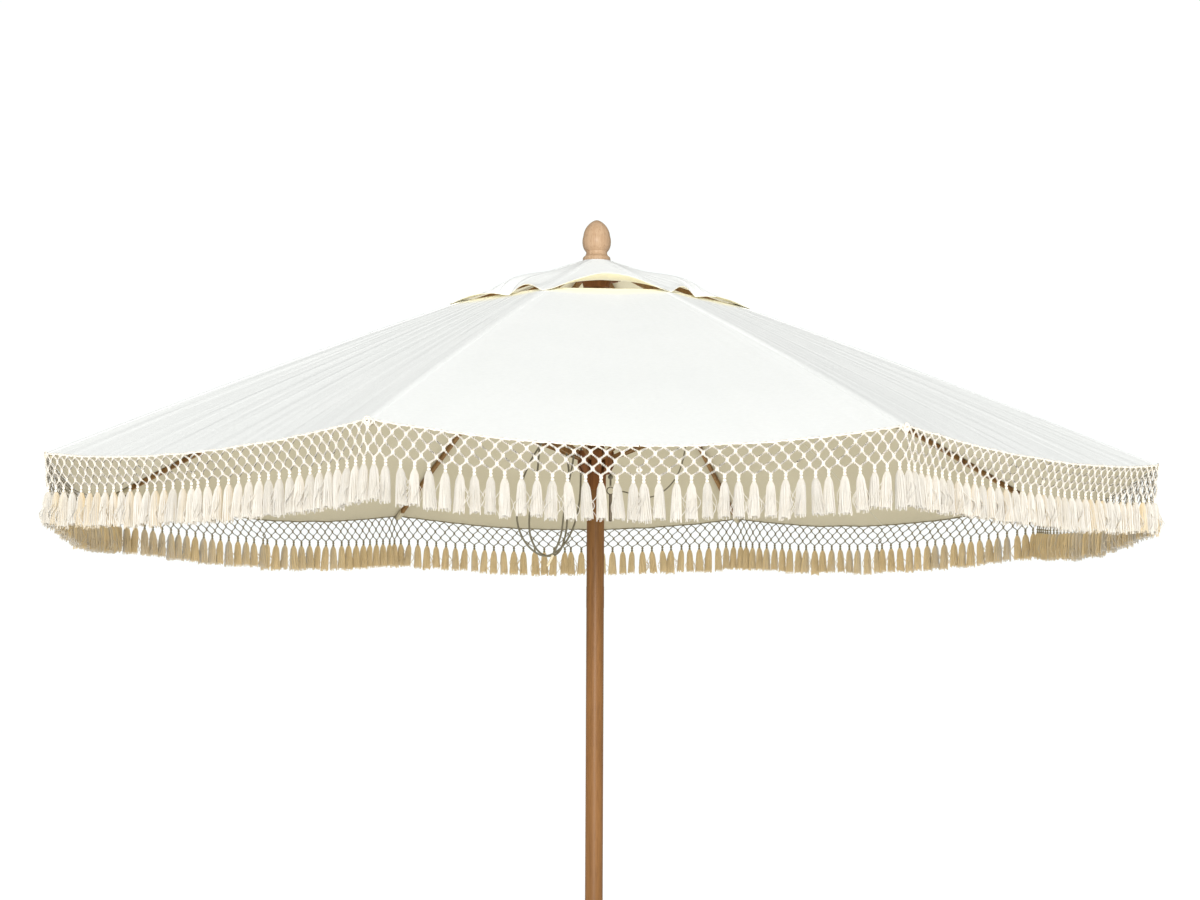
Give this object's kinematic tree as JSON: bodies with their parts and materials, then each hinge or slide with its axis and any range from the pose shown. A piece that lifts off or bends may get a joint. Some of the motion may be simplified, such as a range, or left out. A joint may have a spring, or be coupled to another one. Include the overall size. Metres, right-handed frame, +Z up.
{
  "type": "fringed beach parasol",
  "caption": "Round beach parasol with a wooden pole, folding ribs and struts, a vented cloth canopy and a knotted tassel fringe.",
  "frame": {"origin": "centre of the pole's foot, on its flat end", "axes": "+Z up along the pole, -Y towards the middle of the front panel"},
  "size_m": [2.82, 2.82, 2.847],
  "materials": {
    "pole_wood": "satin varnished hardwood",
    "brown_wood": "stained dark brown hardwood",
    "finial_wood": "pale oiled hardwood",
    "steel": "zinc plated",
    "brass": "dulled",
    "canopy_fabric": "tightly woven cotton canvas, off white",
    "fringe_cotton": "twisted natural cotton cord",
    "rope": "braided olive brown cord",
    "whipping": "cream whipping twine"
  },
  "bodies": {
    "lower_pole": {"lower_pole": "pole_wood", "pole_collar": "pole_wood"},
    "upper_pole": {"upper_pole": "pole_wood", "pole_spigot": "steel", "top_hub": "brown_wood", "hub_pins": "steel", "hub_cover": "brown_wood", "vent_crown": "canopy_fabric", "finial": "finial_wood", "finial_stud": "steel", "pulley_axle": "steel", "lift_rope_run": "rope"},
    "pulley": {"pulley_wheel": "brass"},
    "runner": {"runner": "brown_wood", "runner_pins": "steel", "lift_rope_tail": "rope", "rope_knot": "rope", "rope_end": "whipping", "lock_pin": "steel", "lock_pin_lanyard": "rope"},
    "rib_1": {"rib_1": "brown_wood", "rib_fittings_1": "brass", "canopy_panel_1": "canopy_fabric"},
    "strut_1": {"strut_1": "brown_wood"},
    "fringe_1": {"fringe_1": "fringe_cotton"},
    "rib_2": {"rib_2": "brown_wood", "rib_fittings_2": "brass", "canopy_panel_2": "canopy_fabric"},
    "strut_2": {"strut_2": "brown_wood"},
    "fringe_2": {"fringe_2": "fringe_cotton"},
    "rib_3": {"rib_3": "brown_wood", "rib_fittings_3": "brass", "canopy_panel_3": "canopy_fabric"},
    "strut_3": {"strut_3": "brown_wood"},
    "fringe_3": {"fringe_3": "fringe_cotton"},
    "rib_4": {"rib_4": "brown_wood", "rib_fittings_4": "brass", "canopy_panel_4": "canopy_fabric"},
    "strut_4": {"strut_4": "brown_wood"},
    "fringe_4": {"fringe_4": "fringe_cotton"},
    "rib_5": {"rib_5": "brown_wood", "rib_fittings_5": "brass", "canopy_panel_5": "canopy_fabric"},
    "strut_5": {"strut_5": "brown_wood"},
    "fringe_5": {"fringe_5": "fringe_cotton"},
    "rib_6": {"rib_6": "brown_wood", "rib_fittings_6": "brass", "canopy_panel_6": "canopy_fabric"},
    "strut_6": {"strut_6": "brown_wood"},
    "fringe_6": {"fringe_6": "fringe_cotton"},
    "rib_7": {"rib_7": "brown_wood", "rib_fittings_7": "brass", "canopy_panel_7": "canopy_fabric"},
    "strut_7": {"strut_7": "brown_wood"},
    "fringe_7": {"fringe_7": "fringe_cotton"},
    "rib_8": {"rib_8": "brown_wood", "rib_fittings_8": "brass", "canopy_panel_8": "canopy_fabric"},
    "strut_8": {"strut_8": "brown_wood"},
    "fringe_8": {"fringe_8": "fringe_cotton"}
  },
  "joints": [
    {"name": "pole_joint", "type": "slide", "parent": "lower_pole", "child": "upper_pole", "axis": [0, 0, 1], "range_m": [0, 0.11]},
    {"name": "runner_slide", "type": "slide", "parent": "upper_pole", "child": "runner", "axis": [0, 0, -1], "range_m": [0, 0.8359], "deforming": ["lift_rope_run", "lift_rope_tail", "rope_knot", "rope_end", "lock_pin_lanyard"]},
    {"name": "pulley_spin", "type": "hinge", "parent": "upper_pole", "child": "pulley", "pos_m": [0, 0, 2.62], "axis": [0, 1, 0], "range_deg": [0, 1757.56]},
    {"name": "rib_1_fold", "type": "hinge", "parent": "upper_pole", "child": "rib_1", "pos_m": [-0.02296, -0.05543, 2.708], "axis": [0.9239, -0.3827, 0], "range_deg": [0, 67.49], "deforming": ["canopy_panel_1"]},
    {"name": "strut_1_fold", "type": "hinge", "parent": "rib_1", "child": "strut_1", "pos_m": [-0.25996, -0.62759, 2.43928], "axis": [-0.9239, 0.3827, 0], "range_deg": [0, 134.72]},
    {"name": "fringe_1_hang", "type": "hinge", "parent": "rib_1", "child": "fringe_1", "pos_m": [-0.56943, -1.37473, 2.1175], "axis": [-0.9239, 0.3827, 0], "range_deg": [0, 67.49], "deforming": ["fringe_1"]},
    {"name": "rib_2_fold", "type": "hinge", "parent": "upper_pole", "child": "rib_2", "pos_m": [0.02296, -0.05543, 2.708], "axis": [0.9239, 0.3827, 0], "range_deg": [0, 67.49], "deforming": ["canopy_panel_2"]},
    {"name": "strut_2_fold", "type": "hinge", "parent": "rib_2", "child": "strut_2", "pos_m": [0.25996, -0.62759, 2.43928], "axis": [-0.9239, -0.3827, 0], "range_deg": [0, 134.72]},
    {"name": "fringe_2_hang", "type": "hinge", "parent": "rib_2", "child": "fringe_2", "pos_m": [0.56943, -1.37473, 2.1175], "axis": [-0.9239, -0.3827, 0], "range_deg": [0, 67.49], "deforming": ["fringe_2"]},
    {"name": "rib_3_fold", "type": "hinge", "parent": "upper_pole", "child": "rib_3", "pos_m": [0.05543, -0.02296, 2.708], "axis": [0.3827, 0.9239, 0], "range_deg": [0, 67.49], "deforming": ["canopy_panel_3"]},
    {"name": "strut_3_fold", "type": "hinge", "parent": "rib_3", "child": "strut_3", "pos_m": [0.62759, -0.25996, 2.43928], "axis": [-0.3827, -0.9239, 0], "range_deg": [0, 134.72]},
    {"name": "fringe_3_hang", "type": "hinge", "parent": "rib_3", "child": "fringe_3", "pos_m": [1.37473, -0.56943, 2.1175], "axis": [-0.3827, -0.9239, 0], "range_deg": [0, 67.49], "deforming": ["fringe_3"]},
    {"name": "rib_4_fold", "type": "hinge", "parent": "upper_pole", "child": "rib_4", "pos_m": [0.05543, 0.02296, 2.708], "axis": [-0.3827, 0.9239, 0], "range_deg": [0, 67.49], "deforming": ["canopy_panel_4"]},
    {"name": "strut_4_fold", "type": "hinge", "parent": "rib_4", "child": "strut_4", "pos_m": [0.62759, 0.25996, 2.43928], "axis": [0.3827, -0.9239, 0], "range_deg": [0, 134.72]},
    {"name": "fringe_4_hang", "type": "hinge", "parent": "rib_4", "child": "fringe_4", "pos_m": [1.37473, 0.56943, 2.1175], "axis": [0.3827, -0.9239, 0], "range_deg": [0, 67.49], "deforming": ["fringe_4"]},
    {"name": "rib_5_fold", "type": "hinge", "parent": "upper_pole", "child": "rib_5", "pos_m": [0.02296, 0.05543, 2.708], "axis": [-0.9239, 0.3827, 0], "range_deg": [0, 67.49], "deforming": ["canopy_panel_5"]},
    {"name": "strut_5_fold", "type": "hinge", "parent": "rib_5", "child": "strut_5", "pos_m": [0.25996, 0.62759, 2.43928], "axis": [0.9239, -0.3827, 0], "range_deg": [0, 134.72]},
    {"name": "fringe_5_hang", "type": "hinge", "parent": "rib_5", "child": "fringe_5", "pos_m": [0.56943, 1.37473, 2.1175], "axis": [0.9239, -0.3827, 0], "range_deg": [0, 67.49], "deforming": ["fringe_5"]},
    {"name": "rib_6_fold", "type": "hinge", "parent": "upper_pole", "child": "rib_6", "pos_m": [-0.02296, 0.05543, 2.708], "axis": [-0.9239, -0.3827, 0], "range_deg": [0, 67.49], "deforming": ["canopy_panel_6"]},
    {"name": "strut_6_fold", "type": "hinge", "parent": "rib_6", "child": "strut_6", "pos_m": [-0.25996, 0.62759, 2.43928], "axis": [0.9239, 0.3827, 0], "range_deg": [0, 134.72]},
    {"name": "fringe_6_hang", "type": "hinge", "parent": "rib_6", "child": "fringe_6", "pos_m": [-0.56943, 1.37473, 2.1175], "axis": [0.9239, 0.3827, 0], "range_deg": [0, 67.49], "deforming": ["fringe_6"]},
    {"name": "rib_7_fold", "type": "hinge", "parent": "upper_pole", "child": "rib_7", "pos_m": [-0.05543, 0.02296, 2.708], "axis": [-0.3827, -0.9239, 0], "range_deg": [0, 67.49], "deforming": ["canopy_panel_7"]},
    {"name": "strut_7_fold", "type": "hinge", "parent": "rib_7", "child": "strut_7", "pos_m": [-0.62759, 0.25996, 2.43928], "axis": [0.3827, 0.9239, 0], "range_deg": [0, 134.72]},
    {"name": "fringe_7_hang", "type": "hinge", "parent": "rib_7", "child": "fringe_7", "pos_m": [-1.37473, 0.56943, 2.1175], "axis": [0.3827, 0.9239, 0], "range_deg": [0, 67.49], "deforming": ["fringe_7"]},
    {"name": "rib_8_fold", "type": "hinge", "parent": "upper_pole", "child": "rib_8", "pos_m": [-0.05543, -0.02296, 2.708], "axis": [0.3827, -0.9239, 0], "range_deg": [0, 67.49], "deforming": ["canopy_panel_8"]},
    {"name": "strut_8_fold", "type": "hinge", "parent": "rib_8", "child": "strut_8", "pos_m": [-0.62759, -0.25996, 2.43928], "axis": [-0.3827, 0.9239, 0], "range_deg": [0, 134.72]},
    {"name": "fringe_8_hang", "type": "hinge", "parent": "rib_8", "child": "fringe_8", "pos_m": [-1.37473, -0.56943, 2.1175], "axis": [-0.3827, 0.9239, 0], "range_deg": [0, 67.49], "deforming": ["fringe_8"]}
  ],
  "couplings": [
    {"joint": "pulley_spin", "follows": "runner_slide", "rad_per_m": 36.697},
    {"joint": "rib_1_fold", "follows": "runner_slide", "rad_per_m": 1.4089},
    {"joint": "strut_1_fold", "follows": "runner_slide", "rad_per_m": 2.8126},
    {"joint": "fringe_1_hang", "follows": "runner_slide", "rad_per_m": 1.4089},
    {"joint": "rib_2_fold", "follows": "runner_slide", "rad_per_m": 1.4089},
    {"joint": "strut_2_fold", "follows": "runner_slide", "rad_per_m": 2.8126},
    {"joint": "fringe_2_hang", "follows": "runner_slide", "rad_per_m": 1.4089},
    {"joint": "rib_3_fold", "follows": "runner_slide", "rad_per_m": 1.4089},
    {"joint": "strut_3_fold", "follows": "runner_slide", "rad_per_m": 2.8126},
    {"joint": "fringe_3_hang", "follows": "runner_slide", "rad_per_m": 1.4089},
    {"joint": "rib_4_fold", "follows": "runner_slide", "rad_per_m": 1.4089},
    {"joint": "strut_4_fold", "follows": "runner_slide", "rad_per_m": 2.8126},
    {"joint": "fringe_4_hang", "follows": "runner_slide", "rad_per_m": 1.4089},
    {"joint": "rib_5_fold", "follows": "runner_slide", "rad_per_m": 1.4089},
    {"joint": "strut_5_fold", "follows": "runner_slide", "rad_per_m": 2.8126},
    {"joint": "fringe_5_hang", "follows": "runner_slide", "rad_per_m": 1.4089},
    {"joint": "rib_6_fold", "follows": "runner_slide", "rad_per_m": 1.4089},
    {"joint": "strut_6_fold", "follows": "runner_slide", "rad_per_m": 2.8126},
    {"joint": "fringe_6_hang", "follows": "runner_slide", "rad_per_m": 1.4089},
    {"joint": "rib_7_fold", "follows": "runner_slide", "rad_per_m": 1.4089},
    {"joint": "strut_7_fold", "follows": "runner_slide", "rad_per_m": 2.8126},
    {"joint": "fringe_7_hang", "follows": "runner_slide", "rad_per_m": 1.4089},
    {"joint": "rib_8_fold", "follows": "runner_slide", "rad_per_m": 1.4089},
    {"joint": "strut_8_fold", "follows": "runner_slide", "rad_per_m": 2.8126},
    {"joint": "fringe_8_hang", "follows": "runner_slide", "rad_per_m": 1.4089}
  ]
}
